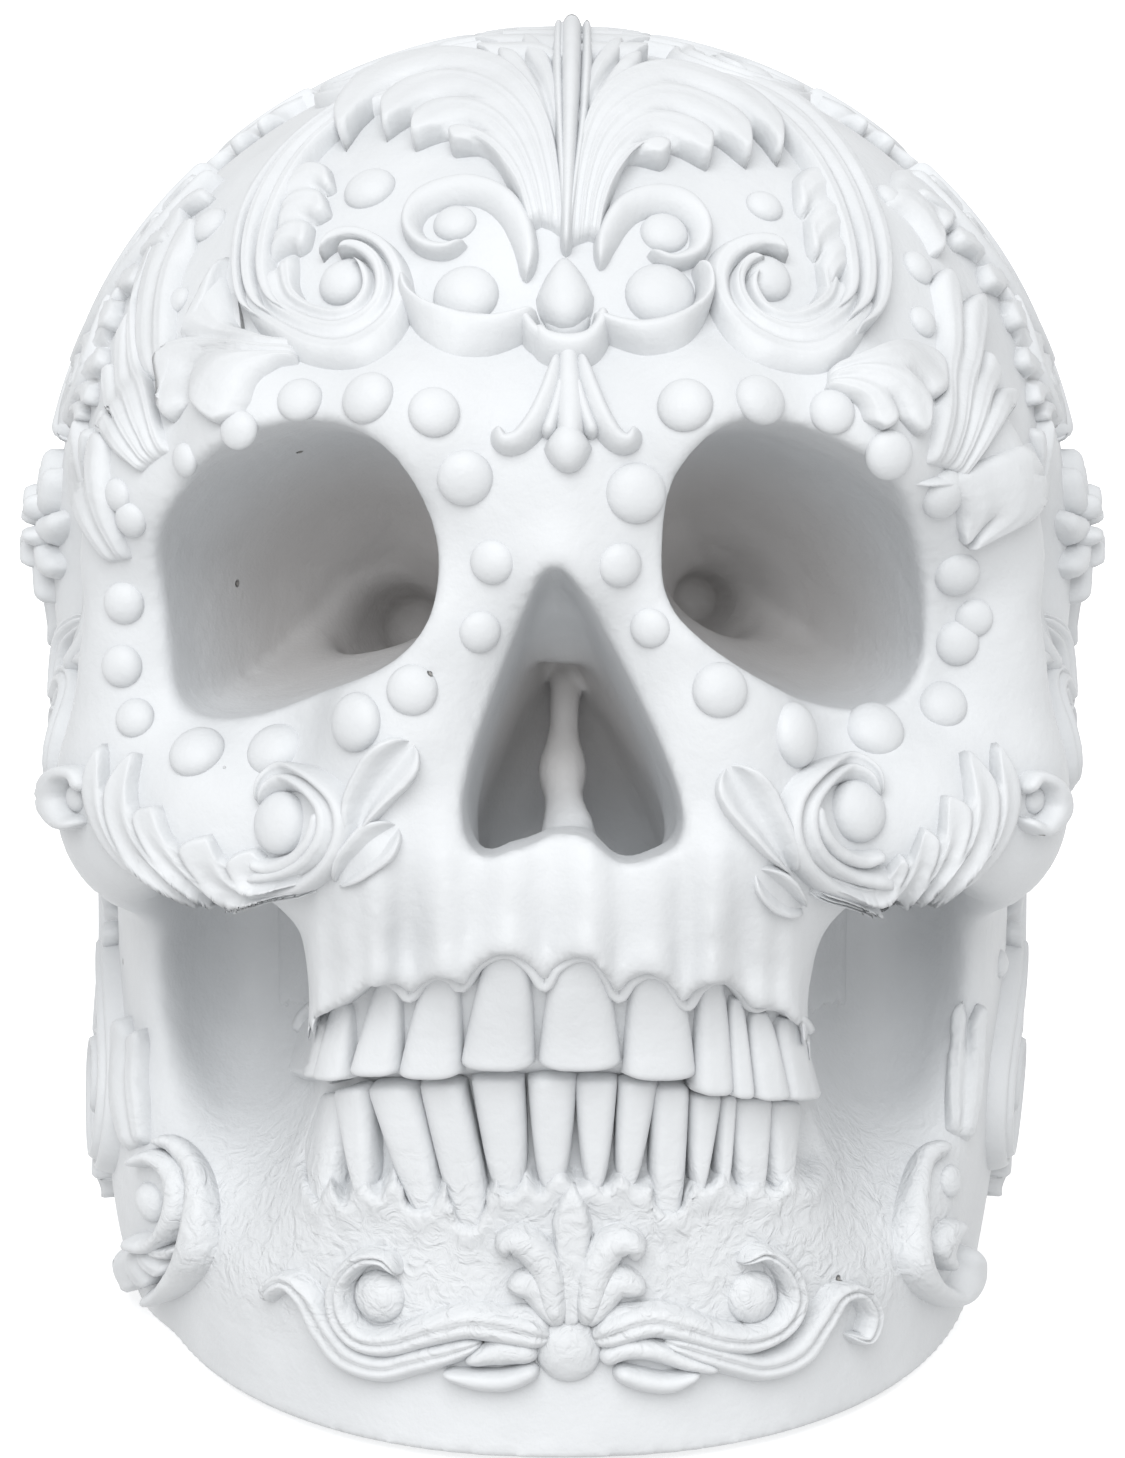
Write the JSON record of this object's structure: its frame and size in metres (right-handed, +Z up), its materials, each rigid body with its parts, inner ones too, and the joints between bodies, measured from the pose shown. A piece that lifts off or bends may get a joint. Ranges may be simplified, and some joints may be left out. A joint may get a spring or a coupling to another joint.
{
  "type": "skull figurine",
  "caption": "Table-top skull figurine cast in matte white resin, with raised scrolls, leaves and beads, clenched teeth, deep eye sockets and a flat base.",
  "frame": {"origin": "on the standing surface, under the middle of the head's bounding box", "axes": "+Z up, the face looks to -Y, +X to the viewer's right when facing the figurine"},
  "size_m": [0.1246, 0.1584, 0.1391],
  "materials": {
    "white_resin": "matte cast polyresin filled with stone powder",
    "plate_resin": "matte cast polyresin",
    "felt": "pressed felt"
  },
  "bodies": {
    "root": {"skull_casting": "white_resin", "jaw_casting": "white_resin", "base_plate": "plate_resin", "pad_front_left": "felt", "pad_front_right": "felt", "pad_back_left": "felt", "pad_back_right": "felt"}
  },
  "joints": []
}
